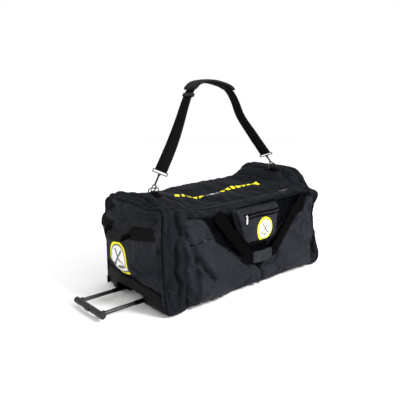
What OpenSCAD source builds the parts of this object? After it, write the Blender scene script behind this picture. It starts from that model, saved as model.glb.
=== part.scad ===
// Wheeled hockey equipment bag.
// Millimetres, +Z up. The handle end is -X, the wheel end is +X and the front is -Y.
// The origin is on the floor, under the middle of the moulded base.

/* [Bag] */
// Length of the bag between its end seams
bag_l = 920; // [900:10:940]
// Depth of the bag from front to back
bag_w = 456; // [450:2:460]
// Height of the top seam at the corners
seam_h = 384; // [380:2:390]
// Length of each end pocket
pocket_l = 92; // [88:1:94]
// How far the handle-end pocket swells past its seam
swell_left = 52; // [40:2:54]
// How far the wheel-end pocket swells past its seam
swell_right = 30; // [20:2:34]
// Rise of the crown above the seam at the handle end
crown_left = 24; // [20:1:26]
// Rise of the crown above the seam at the wheel end
crown_right = 56; // [52:1:58]
// Thickness of a sewn panel with its padding
panel_t = 8; // [6:1:8]

/* [Trolley handle] */
// Radius of the fixed guide tubes
guide_r = 11; // [11:0.5:12]
// Radius of the lower telescopic stage
mid_r = 9; // [9:0.1:9.4]
// Radius of the upper telescopic stage
inner_r = 7.5; // [7:0.1:7.5]
// Spacing between the two tubes
tube_gap = 156; // [150:2:160]
// How far the lower stage is drawn out
mid_out = 55; // [50:1:60]
// How far the upper stage is drawn out of the lower stage
inner_out = 128; // [120:1:128]

/* [Wheels] */
// Radius of a wheel over its tyre
wheel_r = 38; // [36:1:38]
// Radius of a wheel axle
axle_r = 4; // [3.5:0.5:4]

/* [Shoulder strap] */
// Width of the strap webbing
strap_w = 50; // [46:1:50]
// Radius of the wire of the D-rings
ring_wire_r = 2.5; // [2:0.1:2.6]
// Distance from a D-ring's top bar to the strap's ring
hook_l = 62; // [60:1:64]

/* [Hidden] */
$fn = 48;

half_l = bag_l / 2;
half_w = bag_w / 2;
inner_x = half_l - pocket_l;              // outer face of the compartment's end walls

// Moulded base
tray_w = 206;                             // half width of the base
plate_z = 38;                             // underside of the base plate
plate_t = 4;
floor_z = plate_z + plate_t;
skirt_t = 5;
band_h = 80;                              // top of the band at the handle end
band_corner = 20;
exit_w = 104;                             // half width of the handle's recess
exit_h = 46;                              // height of the handle's recess
exit_corner = 16;
rim_w = 10;                               // width of the raised rim round the recess
skirt_low = 10;                           // lower edge of the skirts and the band
well_y = 146;                             // inner side of the wheels' corners
runner_w = 18;

// Compartment
board_t = 4;
front_y = -206;                           // outer face of the main front panel
accessory_y = -256;                      // front face of the accessory pocket
wall_top = 361;
deck_z = 362;
deck_t = 5;
lid_t = 8;
lid_x = 286;                              // half length of the lid
lid_y = -149;                             // front edge of the lid
hinge_y = 196;
hinge_z = 370;
lid_corner = 45;

// Zips: size of a slider, height of its bridge over the tape, length of a pull, and their places
slider_l = 12;
slider_w = 9;
bridge_z = 6.4;
pull_l = 28;
lid_slider_x = [240, 256];
front_slider_left_at = [-190, 306];
front_slider_right_at = [214, 280];
accessory_slider_at = [-98, 322];

// Trolley
tube_y = tube_gap / 2;
tube_z = 24;
guide_x = -452;
guide_len = 256;
stage_len = 250;
run_fit = 0.05;                           // radial running clearance
grip_r = 12;
grip_boss_r = 11;                         // sockets for the tubes
grip_boss_l = 17;
tube_seat = 3;                            // how far the tubes stop short of the grip's middle
button_l = 11;
button_half_w = 15.5;
button_half_h = 5.5;
spring_y = 8;
grip_x = guide_x - 20 - mid_out - inner_out - 2;
grip_half = 98;
spring_r = 3.5;

// Wheels
wheel_x = half_l - wheel_r + 6;
wheel_y = 178;
wheel_w = 24;
housing_w = 52;
housing_low = 22;
housing_top = 92;
well_w = 30;
tyre_gap = 5;                             // between the tyre and the housing
hub_r = 26;
hub_hole_r = 4;                           // holes that lighten the hub
hub_hole_ring = 18;                       // radius of the circle they stand on
bearing_r = 11;
bearing_w = 7;
axle_head_r = 6.5;
axle_head_t = 2.5;

// Strap: the two D-rings' top bars, the hooks' lean, and the strap's centre line.
// A station is [x, z, heading from upright, twist about the heading].
ring_x = 356;
ring_half_w = 24;
ring_drop = 23;                           // from a D-ring's top bar down to its lower bar
top_bar_left = seam_h + crown_left + ring_drop + 3;
top_bar_right = seam_h + crown_right + ring_drop + 3;
tab_w = 34;
hook_r = 14;                              // centre line of the hook's loop
hook_wire = 3;
hook_open = 104;                          // degrees of the loop that its gate closes
pin_r = 2.5;                              // swivel pin and its head
pin_head_r = 3.9;
lean_left = 30;
lean_right = -44;
strap_t = 3;
strap_line = [
    [-318, 499, 30, -44], [-290, 547, 30, -38], [-262, 598, 28, -30], [-236, 652, 24, -20],
    [-212, 708, 22, -10], [-190, 762, 22, -4], [-166, 806, 35, 0], [-136, 830, 62, 0],
    [-100, 840, 82, 0], [-60, 840, 92, 0], [-20, 834, 99, 0], [20, 824, 106, 0],
    [58, 806, 120, 0], [92, 764, 138, 0], [118, 716, 143, 4], [150, 676, 134, 10],
    [190, 636, 134, 16], [230, 595, 134, 20], [270, 555, 135, 24], [304, 521, 136, 28]
];

nickel = [0.75, 0.76, 0.78];

// ---------- shared shapes ----------

module block(x0, x1, y0, y1, z0, z1) {
    translate([x0, y0, z0]) cube([x1 - x0, y1 - y0, z1 - z0]);
}

module rod_x(x0, x1, y, z, r) {
    translate([x0, y, z]) rotate([0, 90, 0]) cylinder(h = x1 - x0, r = r);
}

module rod_y(x, y0, y1, z, r) {
    translate([x, y0, z]) rotate([-90, 0, 0]) cylinder(h = y1 - y0, r = r);
}

// Extrudes an outline drawn in Y and Z along X
module along_x(x0, x1) {
    translate([x0, 0, 0]) rotate([90, 0, 90]) linear_extrude(x1 - x0) children();
}

// Extrudes an outline drawn in X and Z along Y
module along_y(y0, y1) {
    translate([0, y1, 0]) rotate([90, 0, 0]) linear_extrude(y1 - y0) children();
}

// Extrudes an outline drawn in X and Y along Z
module along_z(z0, z1) {
    translate([0, 0, z0]) linear_extrude(z1 - z0) children();
}

// Height of the crowned top over y
function crown(y, rise) = seam_h + rise * (1 - pow(y / half_w, 2));

// Cross-section of the bag, flat below and crowned on top
module end_outline(low, rise, steps = 12) {
    top = [for (i = [0:steps]) let (y = half_w - 2 * half_w * i / steps) [y, crown(y, rise)]];
    polygon(concat([[-half_w, low], [half_w, low]], top));
}

// Points along an arc, counter-clockwise
function arc(x, z, r, from, to, steps = 6) =
    [for (i = [0:steps]) let (a = from + (to - from) * i / steps) [x + r * cos(a), z + r * sin(a)]];

module ring(r, hole, t) {
    difference() {
        cylinder(h = t, r = r, center = true);
        cylinder(h = t + 1, r = hole, center = true);
    }
}

// ---------- moulded base ----------

// Plate with the wheels' corners left out
module tray_plate() {
    along_z(plate_z, floor_z) polygon([
        [-half_l + 2, -tray_w], [inner_x + 5, -tray_w], [inner_x + 5, -well_y], [half_l - 8, -well_y],
        [half_l - 8, well_y], [inner_x + 5, well_y], [inner_x + 5, tray_w], [-half_l + 2, tray_w]
    ]);
}

module tray_skirts() {
    for (side = [-1, 1])
        block(-half_l + 2, inner_x + 5, side > 0 ? tray_w - skirt_t : -tray_w,
              side > 0 ? tray_w : -tray_w + skirt_t, skirt_low, plate_z);
    block(half_l - 14, half_l - 8, -well_y, well_y, skirt_low, plate_z);
}

// Upright band at the handle end, arched over the pull-out handle, with a raised rim round the arch
module end_band() {
    color([0.14, 0.14, 0.15]) {
        along_x(-half_l - 6, -half_l + 1.8) polygon(concat(
            exit_arch(0, skirt_low),
            [[-tray_w, skirt_low]],
            turned(arc(-tray_w + band_corner, band_h - band_corner, band_corner, 90, 180)),
            turned(arc(tray_w - band_corner, band_h - band_corner, band_corner, 0, 90)),
            [[tray_w, skirt_low]]));
        along_x(-half_l - 14, -half_l - 6) polygon(concat(
            exit_arch(0, skirt_low), turned(exit_arch(rim_w, skirt_low))));
    }
}

function turned(points) = [for (i = [len(points) - 1:-1:0]) points[i]];

// Outline of the handle's recess, from its right foot over the top to its left foot
function exit_arch(rim, low) = concat(
    [[exit_w + rim, low]],
    arc(exit_w + rim - exit_corner, exit_h + rim - exit_corner, exit_corner, 0, 90),
    arc(-exit_w - rim + exit_corner, exit_h + rim - exit_corner, exit_corner, 90, 180),
    [[-exit_w - rim, low]]);

// Clamps that hold the guide tubes up against the base
module tube_clamps() {
    color([0.14, 0.14, 0.15]) for (x = [-440, -216], side = [-1, 1])
        difference() {
            block(x, x + 15, side * tube_y - 16, side * tube_y + 16, skirt_low, plate_z);
            rod_x(x - 1, x + 16, side * tube_y, tube_z, guide_r + run_fit);
        }
}

// Rails and feet that the bag stands on
module skid_rails() {
    foot_y = 150;
    color([0.14, 0.14, 0.15]) {
        for (y = [-130, 0, 130])
            block(-170, inner_x, y - runner_w / 2, y + runner_w / 2, 0, plate_z);
        for (side = [-1, 1])
            block(-half_l + 10, -half_l + 60, side * foot_y - 16, side * foot_y + 16, 0, plate_z);
    }
}

module base_tray() {
    color([0.14, 0.14, 0.15]) {
        tray_plate();
        tray_skirts();
    }
}

// ---------- wheels ----------

module wheel_housing(side) {
    y = side * wheel_y;
    color([0.12, 0.12, 0.13]) difference() {
        block(inner_x + 8, half_l - 8, y - housing_w / 2, y + housing_w / 2, housing_low, housing_top);
        rod_y(wheel_x, y - well_w / 2, y + well_w / 2, wheel_r, wheel_r + tyre_gap);
        block(wheel_x, half_l, y - well_w / 2, y + well_w / 2, 0, wheel_r + 34);
        rod_y(wheel_x, y - housing_w, y + housing_w, wheel_r, axle_r + run_fit);
    }
}

// Puts a part turned about Z onto a wheel's axle
module on_axle(side) {
    translate([wheel_x, side * wheel_y, wheel_r]) rotate([90, 0, 0]) children();
}

module wheel(side) {
    color([0.25, 0.25, 0.27]) on_axle(side) difference() {
        cylinder(h = wheel_w, r = hub_r, center = true);
        for (end = [-1, 1])
            translate([0, 0, end * (wheel_w - bearing_w) / 2])
                cylinder(h = bearing_w + 0.02, r = bearing_r + 0.03, center = true);
        cylinder(h = wheel_w + 6, r = axle_r + 2, center = true);
        for (a = [0:60:300])
            rotate(a) translate([hub_hole_ring, 0, 0])
                cylinder(h = wheel_w + 6, r = hub_hole_r, center = true);
    }
}

module tyre(side) {
    half = wheel_w / 2;
    color([0.06, 0.06, 0.06]) on_axle(side) rotate_extrude($fn = 96) polygon([
        [hub_r + 0.05, -half], [wheel_r - 4, -half], [wheel_r - 1, -half + 2.5], [wheel_r, -half / 2],
        [wheel_r, half / 2], [wheel_r - 1, half - 2.5], [wheel_r - 4, half], [hub_r + 0.05, half]
    ]);
}

// Two axles, each with a flat head at both ends
module axles() {
    color([0.7, 0.7, 0.72]) for (side = [-1, 1]) on_axle(side) {
        cylinder(h = housing_w, r = axle_r, center = true);
        for (end = [-1, 1])
            translate([0, 0, end * (housing_w + axle_head_t) / 2])
                cylinder(h = axle_head_t, r = axle_head_r, center = true);
    }
}

module bearings(side) {
    color([0.75, 0.75, 0.77]) on_axle(side) for (end = [-1, 1])
        translate([0, 0, end * (wheel_w - bearing_w) / 2]) ring(bearing_r, axle_r + 0.04, bearing_w);
}

// ---------- trolley handle ----------

module guide_tubes() {
    color([0.1, 0.1, 0.11]) for (side = [-1, 1]) difference() {
        rod_x(guide_x, guide_x + guide_len, side * tube_y, tube_z, guide_r);
        rod_x(guide_x - 1, guide_x + guide_len + 1, side * tube_y, tube_z, mid_r + run_fit);
    }
}

module mid_tube(side) {
    start = guide_x - mid_out - 2;
    color([0.09, 0.09, 0.1]) difference() {
        rod_x(start, start + stage_len, side * tube_y, tube_z, mid_r);
        rod_x(start - 1, start + stage_len + 1, side * tube_y, tube_z, inner_r + run_fit);
    }
}

module inner_tube(side) {
    start = grip_x + tube_seat;
    finish = guide_x - mid_out - inner_out + stage_len - 4;
    color([0.4, 0.4, 0.42]) difference() {
        rod_x(start, finish, side * tube_y, tube_z, inner_r);
        rod_x(start - 1, finish + 1, side * tube_y, tube_z, inner_r - 1.5);
    }
}

module trolley_grip() {
    color([0.13, 0.13, 0.14]) difference() {
        union() {
            rod_y(grip_x, -grip_half, grip_half, tube_z, grip_r);
            for (side = [-1, 1])
                rod_x(grip_x, grip_x + grip_boss_l, side * tube_y, tube_z, grip_boss_r);
        }
        for (side = [-1, 1])
            rod_x(grip_x + tube_seat, grip_x + grip_boss_l + 10, side * tube_y, tube_z, inner_r + 0.02);
        block(grip_x - grip_r - 8, grip_x + 6, -button_half_w - 0.5, button_half_w + 0.5,
              tube_z - button_half_h - 0.5, tube_z + button_half_h + 0.5);
    }
}

module release_button() {
    color([0.3, 0.3, 0.31]) difference() {
        block(grip_x - 4 - button_l, grip_x - 4, -button_half_w, button_half_w,
              tube_z - button_half_h, tube_z + button_half_h);
        for (y = [-spring_y, spring_y]) rod_x(grip_x - 8.2, grip_x, y, tube_z, spring_r + 0.1);
    }
}

// The two springs behind the button, drawn at their pressed length inside its blind bores
module button_spring() {
    color([0.7, 0.7, 0.7]) for (y = [-spring_y, spring_y])
        difference() {
            rod_x(grip_x - 4, grip_x + 6, y, tube_z, spring_r);
            rod_x(grip_x - 5, grip_x + 7, y, tube_z, spring_r - 0.8);
        }
}

// ---------- bag body ----------

module bottom_board() {
    color([0.2, 0.2, 0.2])
        block(-inner_x + 6, inner_x - 6, front_y + panel_t, tray_w + 1, floor_z, floor_z + board_t);
}

module front_wall() {
    color([0.1, 0.1, 0.12])
        block(-inner_x, inner_x, front_y, front_y + panel_t, floor_z + 1, wall_top - 6);
}

module back_wall() {
    color([0.1, 0.1, 0.12])
        block(-inner_x, inner_x, half_w - panel_t - 6, half_w - 6, 12, wall_top);
}

module cross_wall(x0, x1) {
    color([0.1, 0.1, 0.12])
        block(x0, x1, front_y + panel_t, half_w - panel_t - 6, floor_z, wall_top);
}

// Top of the bag around the lid: two crowned ends joined by a front and a back strip
module top_deck() {
    color([0.1, 0.1, 0.12]) {
        deck_end(-inner_x, -lid_x - 5, crown_left);
        deck_end(lid_x + 5, inner_x, crown_right);
        block(-lid_x - 5, lid_x + 5, front_y, lid_y - 3, deck_z, deck_z + deck_t - 1);
        block(-lid_x - 5, lid_x + 5, hinge_y + 0.5, half_w - 6, deck_z, deck_z + deck_t - 1);
    }
}

module deck_end(x0, x1, rise) {
    along_x(x0, x1) intersection() {
        end_outline(deck_z, rise);
        translate([front_y, deck_z]) square([half_w - 6 - front_y, 200]);
    }
}

module lid() {
    color([0.11, 0.11, 0.13])
        along_z(hinge_z - lid_t / 2, hinge_z + lid_t / 2) {
            translate([-lid_x, lid_y + lid_corner]) square([2 * lid_x, hinge_y - 2 - lid_y - lid_corner]);
            translate([-lid_x + lid_corner, lid_y]) square([2 * (lid_x - lid_corner), lid_corner + 1]);
            for (side = [-1, 1])
                translate([side * (lid_x - lid_corner), lid_y + lid_corner]) circle(r = lid_corner);
        }
}

// Pocket across a whole end of the bag: its seams stand on the box, its middle swells out.
// Beside the deck it is as high as the deck; past the D-ring it rises to its own crown.
module end_pocket(side, low, deck_rise, rise, swell, foot_x, foot_y, apron_x, apron_low) {
    far = side * half_l;
    near = side * (inner_x + 1);
    past_ring = side * (ring_x + ring_half_w + 4);
    inset = (pocket_l - swell) / 2 - 2;
    color([0.1, 0.1, 0.12]) {
        along_x(min(near, past_ring), max(near, past_ring)) end_outline(low, deck_rise);
        hull() {
            along_x(min(past_ring, far - side * 12), max(past_ring, far - side * 12)) end_outline(low, rise);
            for (y = [-1, 1], z = [low + 20, seam_h - 24])
                translate([far - side * 14, y * (half_w - 20), z]) sphere(r = 14, $fn = 24);
            translate([far - side * inset, 0, (low + seam_h) / 2])
                scale([(swell + inset) / 100, 1.75, 1.3]) sphere(r = 100, $fn = 32);
        }
        block(min(near, side * foot_x), max(near, side * foot_x), -foot_y, foot_y, floor_z, low);
        for (y = [-1, 1])
            block(min(near, side * apron_x), max(near, side * apron_x), y > 0 ? tray_w + 1 : -half_w,
                  y > 0 ? half_w : -tray_w - 1, apron_low, low);
    }
}

module front_pocket(outline) {
    color([0.12, 0.12, 0.14]) along_y(-half_w - 6, front_y - 2) polygon(outline);
}

left_outline = [
    [-inner_x + 2, 12], [20, 12], [20, 50], [-9, 98], [-130, 178], [-205, 225], [-281, 322],
    [-309, 345], [-inner_x + 2, 345]
];
right_outline = [
    [24, 12], [inner_x - 2, 12], [inner_x - 2, 345], [318, 340], [304, 284], [249, 260],
    [196, 222], [110, 126], [24, 80]
];

module accessory_pocket() {
    corner = 36;
    color([0.13, 0.13, 0.15]) along_y(accessory_y, front_y - 1) polygon(concat(
        [[112, 352], [-152, 352]], arc(-70, 239, corner, 180, 270), arc(68, 239, corner, 270, 360)));
}

// ---------- zips ----------

// Slider body with a bridge; the tape lies in the XY plane and the pull points along +X
module zip_slider() {
    translate([-slider_l / 2, -slider_w / 2, 0.3]) cube([slider_l, slider_w, 4.2]);
    for (side = [-1, 1])
        translate([-1.5, side * 3.6 - 0.8, 4.4]) cube([3, 1.6, 3.2]);
    translate([0, 0, bridge_z]) rotate([90, 0, 0]) cylinder(h = slider_w - 0.2, r = 1, center = true);
}

module zip_pull() {
    difference() {
        union() {
            translate([0, 0, bridge_z]) rotate([90, 0, 0]) cylinder(h = 4.6, r = 1.9, center = true);
            translate([1, -2.3, bridge_z - 0.8]) cube([5, 4.6, 1.6]);
            translate([5, -3.8, bridge_z - 0.8]) cube([pull_l - 5, 7.6, 1.6]);
        }
        translate([0, 0, bridge_z]) rotate([90, 0, 0]) cylinder(h = 10, r = 1.15, center = true);
        translate([pull_l - 6, 0, 0]) cylinder(h = 20, r = 1.6);
    }
}

// Lays a slider on the deck beside the lid's front edge
module on_deck(x, flip) {
    color(nickel) translate([x, lid_y - 11, deck_z + deck_t - 1]) rotate([0, 0, flip ? 180 : 0]) children();
}

// Stands a slider on an upright front face, with its pull hanging down
module on_face(place, y) {
    color(nickel) translate([place[0], y, place[1]]) rotate([90, 90, 0]) children();
}

// ---------- webbing handles ----------

loop_x = 12;                              // middle of the level stretch of the carry handles' V
anchor_x = 36;                            // middle between the V's two anchors
loop_top = 345;
loop_low = 142;
loop_hem = 4;                             // webbing above the line the handles swing about
carry_y = -248;                           // middle of the front carry handle's webbing

// V of webbing that hangs flat from two anchors, joined by a level stretch
module carry_loop(y0, y1) {
    color([0.07, 0.07, 0.08]) along_y(y0, y1) polygon([
        [anchor_x - 294, loop_top + loop_hem], [anchor_x - 238, loop_top + loop_hem],
        [loop_x - 66, loop_low + 18], [loop_x + 66, loop_low + 18],
        [anchor_x + 238, loop_top + loop_hem], [anchor_x + 294, loop_top + loop_hem],
        [loop_x + 86, loop_low - 20], [loop_x - 86, loop_low - 20]
    ]);
}

module carry_wrap() {
    color([0.2, 0.2, 0.21]) difference() {
        block(loop_x - 56, loop_x + 56, carry_y - 6, carry_y + 6, loop_low - 26, loop_low + 24);
        block(loop_x - 60, loop_x + 60, carry_y - 1.6, carry_y + 1.6, loop_low - 20.2, loop_low + 18.2);
    }
}

// End handle that droops from two anchors; the grip is wrapped
grab_y = -12;
grab_z = 318;

module grab_handle(side, hinge_x) {
    leg_y = 76;
    leg_w = 38;
    grip_in = 34;
    grip_out = 62;
    color([0.07, 0.07, 0.08]) translate([hinge_x, grab_y, grab_z]) mirror([side < 0 ? 1 : 0, 0, 0])
        rotate([0, 45, 0]) {
            for (end = [-1, 1]) {
                translate([0, end * leg_y - leg_w / 2, -1.5]) cube([grip_in, leg_w, 3]);
                translate([grip_in - 4, end * (leg_y - 5.5) - 16.5, -1.5])
                    cube([grip_out - grip_in + 4, 33, 3]);
            }
            translate([grip_in, -62, -5]) cube([grip_out - grip_in, 124, 10]);
        }
}

// ---------- shoulder strap ----------

// Cross product, unit vector and the strap's own axes at one of its stations
function unit(v) = v / norm(v);
function heading(s) = [sin(s[2]), 0, cos(s[2])];
function across(s) = [sin(s[3]) * cos(s[2]), cos(s[3]), -sin(s[3]) * sin(s[2])];
function outward(s) = unit(cross(across(s), heading(s)));
function station(s, lift, w, t) =
    let (c = [s[0], 0, s[1]] - lift * outward(s), a = across(s) * w / 2, o = outward(s) * t / 2)
    [c - a - o, c + a - o, c + a + o, c - a + o];

// Sweeps a flat section along some of the strap's stations
module strap_band(first, last, lift, w, t) {
    points = [for (i = [first:last]) each station(strap_line[i], lift, w, t)];
    n = last - first;
    sides = [for (i = [0:n - 1], k = [0:3]) let (a = 4 * i + k, b = 4 * i + (k + 1) % 4)
        each [[a, b, b + 4], [a, b + 4, a + 4]]];
    ends = [[2, 1, 0], [3, 2, 0], [4 * n, 4 * n + 1, 4 * n + 2], [4 * n, 4 * n + 2, 4 * n + 3]];
    polyhedron(points, concat(sides, ends));
}

module strap_webbing() {
    color([0.08, 0.08, 0.08]) strap_band(0, 19, 0, strap_w, strap_t);
}

module shoulder_pad() {
    color([0.15, 0.15, 0.15]) strap_band(6, 12, 7.5, 74, 10);
}

// Slotted slide that grips the webbing below the pad
module strap_adjuster() {
    s = 0.35 * strap_line[5] + 0.65 * strap_line[6];
    color([0.1, 0.1, 0.1]) translate([s[0], 0, s[1]]) rotate([0, s[2], 0]) rotate([0, 0, -s[3]])
        difference() {
            cube([9, strap_w + 12, 14], center = true);
            cube([6, strap_w + 4, 16], center = true);
        }
}

// Places a part made upright over a D-ring's top bar onto the left or right hook's line
module on_hook(side) {
    translate([side * ring_x, 0, side < 0 ? top_bar_left : top_bar_right])
        rotate([0, side < 0 ? lean_left : lean_right, 0]) children();
}

// Flat wire loop that the webbing is sewn around, with the swivel's barrel under it
module strap_ring() {
    bar = strap_w / 2 + 5;
    color(nickel) difference() {
        union() {
            for (z = [hook_l, hook_l + 11]) rod_y(0, -bar, bar, z, 2);
            for (end = [-1, 1]) translate([0, end * bar, hook_l]) cylinder(h = 11, r = 2);
            for (end = [-1, 1], z = [hook_l, hook_l + 11])
                translate([0, end * bar, z]) sphere(r = 2, $fn = 32);
            translate([0, 0, hook_l - 9]) cylinder(h = 9, r = 6);
        }
        translate([0, 0, hook_l - 10]) cylinder(h = 6, r = pin_r + run_fit);
        translate([0, 0, hook_l - 6]) cylinder(h = 4, r = pin_head_r + 0.3);
    }
}

// Snap hook: a loop with an opening on the back side, a shank and a headed swivel pin
module snap_hook() {
    color(nickel) {
        rotate([0, 90, 0]) rotate([0, 0, 90 + hook_open / 2])
            rotate_extrude(angle = 360 - hook_open, $fn = 64)
                translate([hook_r, 0]) circle(r = hook_wire, $fn = 24);
        translate([0, 0, hook_r + 1]) cylinder(h = hook_l - hook_r - 12, r = 4);
        translate([0, 0, hook_l - 12]) cylinder(h = 8, r = pin_r);
        translate([0, 0, hook_l - 5.5]) cylinder(h = 3, r = pin_head_r);
    }
}

// Sprung gate that closes the hook's opening
module hook_gate() {
    color([0.7, 0.71, 0.73]) translate([0, 10.4, 8.2]) rotate([-174, 0, 0]) {
        translate([0, 0, 1.5]) cylinder(h = 14, r = 2);
        rotate([0, 90, 0]) cylinder(h = 5, r = 1.6, center = true);
    }
}

// D-ring that stands in its tab; its top bar carries the hook
module d_ring(side) {
    bend = 9;
    color(nickel) translate([side * ring_x, 0, side < 0 ? top_bar_left : top_bar_right]) {
        rod_x(-ring_half_w + bend, ring_half_w - bend, 0, 0, ring_wire_r);
        rod_x(-ring_half_w, ring_half_w, 0, -ring_drop, ring_wire_r);
        for (end = [-1, 1]) {
            translate([end * ring_half_w, 0, -ring_drop]) cylinder(h = ring_drop - bend, r = ring_wire_r);
            translate([end * ring_half_w, 0, -ring_drop]) sphere(r = ring_wire_r, $fn = 32);
            translate([end * (ring_half_w - bend), 0, -bend]) rotate([90, 0, 0])
                rotate([0, 0, end > 0 ? 0 : 90]) rotate_extrude(angle = 90) translate([bend, 0])
                    circle(r = ring_wire_r, $fn = 24);
        }
    }
}

// Webbing tabs that hold the D-rings' lower bars down on the deck
module d_ring_tabs() {
    color([0.08, 0.08, 0.09]) for (side = [-1, 1])
        let (bar_z = (side < 0 ? top_bar_left : top_bar_right) - ring_drop)
        difference() {
            translate([side * ring_x - tab_w / 2, -9, bar_z - 3]) cube([tab_w, 18, 7]);
            rod_x(side * ring_x - tab_w, side * ring_x + tab_w, 0, bar_z, ring_wire_r + 0.05);
        }
}

base_tray();
end_band();
skid_rails();
tube_clamps();
wheel_housing(-1);  // wheel_housing_front
wheel_housing(1);  // wheel_housing_back
wheel(-1);  // wheel_front
wheel(1);  // wheel_back
tyre(-1);  // tyre_front
tyre(1);  // tyre_back
axles();
bearings(-1);  // bearings_front
bearings(1);  // bearings_back
guide_tubes();
mid_tube(-1);  // mid_tube_front
mid_tube(1);  // mid_tube_back
inner_tube(-1);  // inner_tube_front
inner_tube(1);  // inner_tube_back
trolley_grip();
release_button();
button_spring();
bottom_board();
front_wall();
back_wall();
cross_wall(-inner_x, -inner_x + 6);  // left_wall
cross_wall(inner_x - 6, inner_x);  // right_wall
top_deck();
lid();
end_pocket(-1, band_h + 4, crown_left, crown_left + 12, swell_left, half_l - 6, 196, half_l - 4, 8);  // end_pocket_left
end_pocket(1, housing_top + 4, crown_right, crown_right, swell_right, half_l - 16, 144, half_l - 10, 14);  // end_pocket_right
front_pocket(left_outline);  // front_pocket_left
front_pocket(right_outline);  // front_pocket_right
accessory_pocket();
on_deck(lid_slider_x[0], true) zip_slider();  // lid_slider_left
on_deck(lid_slider_x[1], false) zip_slider();  // lid_slider_right
on_deck(lid_slider_x[0], true) zip_pull();  // lid_pull_left
on_deck(lid_slider_x[1], false) zip_pull();  // lid_pull_right
on_face(front_slider_left_at, front_y) zip_slider();  // front_slider_left
on_face(front_slider_right_at, front_y) zip_slider();  // front_slider_right
on_face(front_slider_left_at, front_y) zip_pull();  // front_pull_left
on_face(front_slider_right_at, front_y) zip_pull();  // front_pull_right
on_face(accessory_slider_at, accessory_y) zip_slider();  // accessory_slider
on_face(accessory_slider_at, accessory_y) zip_pull();  // accessory_pull
carry_loop(carry_y - 1.5, carry_y + 1.5);  // carry_handle_front
carry_wrap();
carry_loop(half_w - 2, half_w + 1);  // carry_handle_back
grab_handle(-1, -half_l - swell_left + 8);  // grab_handle_left
grab_handle(1, half_l + swell_right - 4);  // grab_handle_right
strap_webbing();
shoulder_pad();
strap_adjuster();
on_hook(-1) rotate([0, 0, 44]) strap_ring();  // strap_ring_left
on_hook(1) rotate([0, 0, 28]) strap_ring();  // strap_ring_right
on_hook(-1) snap_hook();  // snap_hook_left
on_hook(1) snap_hook();  // snap_hook_right
on_hook(-1) hook_gate();  // hook_gate_left
on_hook(1) hook_gate();  // hook_gate_right
d_ring(-1);  // d_ring_left
d_ring(1);  // d_ring_right
d_ring_tabs();
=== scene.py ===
import math

import bpy
import numpy as np
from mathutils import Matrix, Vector
from mathutils.bvhtree import BVHTree


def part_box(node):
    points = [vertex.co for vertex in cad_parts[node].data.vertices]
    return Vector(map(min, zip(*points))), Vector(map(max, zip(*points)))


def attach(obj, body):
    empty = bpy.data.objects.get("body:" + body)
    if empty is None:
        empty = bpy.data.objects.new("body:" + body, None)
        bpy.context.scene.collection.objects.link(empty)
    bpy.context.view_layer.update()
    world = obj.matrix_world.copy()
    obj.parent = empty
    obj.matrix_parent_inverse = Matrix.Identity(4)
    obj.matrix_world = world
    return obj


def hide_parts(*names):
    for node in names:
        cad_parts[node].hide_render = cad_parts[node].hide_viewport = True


# Soft black hockey bag: fabric shells, webbing, zips and badges around the fixed CAD frame. Metres.

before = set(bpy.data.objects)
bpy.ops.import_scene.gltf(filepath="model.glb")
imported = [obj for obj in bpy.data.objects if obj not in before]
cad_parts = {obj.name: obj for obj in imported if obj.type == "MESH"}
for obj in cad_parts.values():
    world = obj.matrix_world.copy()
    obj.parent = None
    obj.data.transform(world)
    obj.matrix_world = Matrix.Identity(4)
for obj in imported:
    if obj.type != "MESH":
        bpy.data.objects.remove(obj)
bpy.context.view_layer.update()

CELL_FINE = 0.005     # cell of small panels
HALF_L = 0.460        # from the middle to each end seam
HALF_W = 0.228        # from the middle to the front and back seams
SEAM_X = 0.368        # where the end pockets meet the middle of the bag
FLOOR_GAP = 0.010     # fabric hem above the floor
BAND_TOP = 0.084      # top of the moulded band at the handle end
FRONT_Y = -0.213      # outer face of the front panel
BACK_Y = 0.2205       # outer face of the back
SKIN = 0.004          # one layer of fabric with its padding
CELL = 0.007          # size of a cloth cell
ZIP_GAP = 0.004       # half of the gap that the lid's zip fills
LID_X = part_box("lid")[1].x + 0.006
LID_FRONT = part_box("lid_slider_left")[0].y + 0.0075
LID_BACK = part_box("lid")[1].y
LID_CORNER = 0.045    # radius of the lid's two front corners
SHAKE = 0.0006        # random start of a cloth, so that it has somewhere to fold
CLOTH_FRAMES = 26     # frames that each cloth is simulated for
PRINT_THICK = 0.0006  # thickness of a printed mark
CAMERA_PLACE = (-1.4477, -1.5000, 0.7774)
CAMERA_AHEAD = (0.65054, 0.73068, -0.20716)
CAMERA_LENS = 43.2    # for a sensor 36 mm wide


# ---------- camera ----------

def link(name, data):
    """Puts a camera, a lamp or a mesh in the scene."""
    obj = bpy.data.objects.new(name, data)
    bpy.context.collection.objects.link(obj)
    return obj


def aim(obj, place, ahead):
    obj.location = place
    obj.rotation_euler = Vector(ahead).to_track_quat("-Z", "Y").to_euler()


def look_along(place, ahead, lens):
    data = bpy.data.cameras.new("camera")
    data.lens = lens
    data.sensor_width = 36.0
    camera = link("camera", data)
    aim(camera, place, ahead)
    bpy.context.scene.camera = camera


look_along(CAMERA_PLACE, CAMERA_AHEAD, CAMERA_LENS)


# ---------- light and floor ----------

def area_light(name, place, target, size, power):
    data = bpy.data.lights.new(name, "AREA")
    data.shape = "SQUARE"
    data.size = size
    data.energy = power
    aim(link(name, data), place, Vector(target) - Vector(place))


bpy.context.scene.view_settings.view_transform = "Standard"
area_light("key", (0.3, -2.2, 1.7), (0, 0, 0.2), size=0.9, power=105)
area_light("top", (0.5, 0.4, 2.6), (0, 0, 0.3), size=1.2, power=6)
area_light("left_fill", (-2.6, -0.9, 0.30), (0, 0, 0.2), size=0.9, power=20)


def set_inputs(node, values):
    for name, value in values.items():
        node.inputs[name].default_value = value


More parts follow.
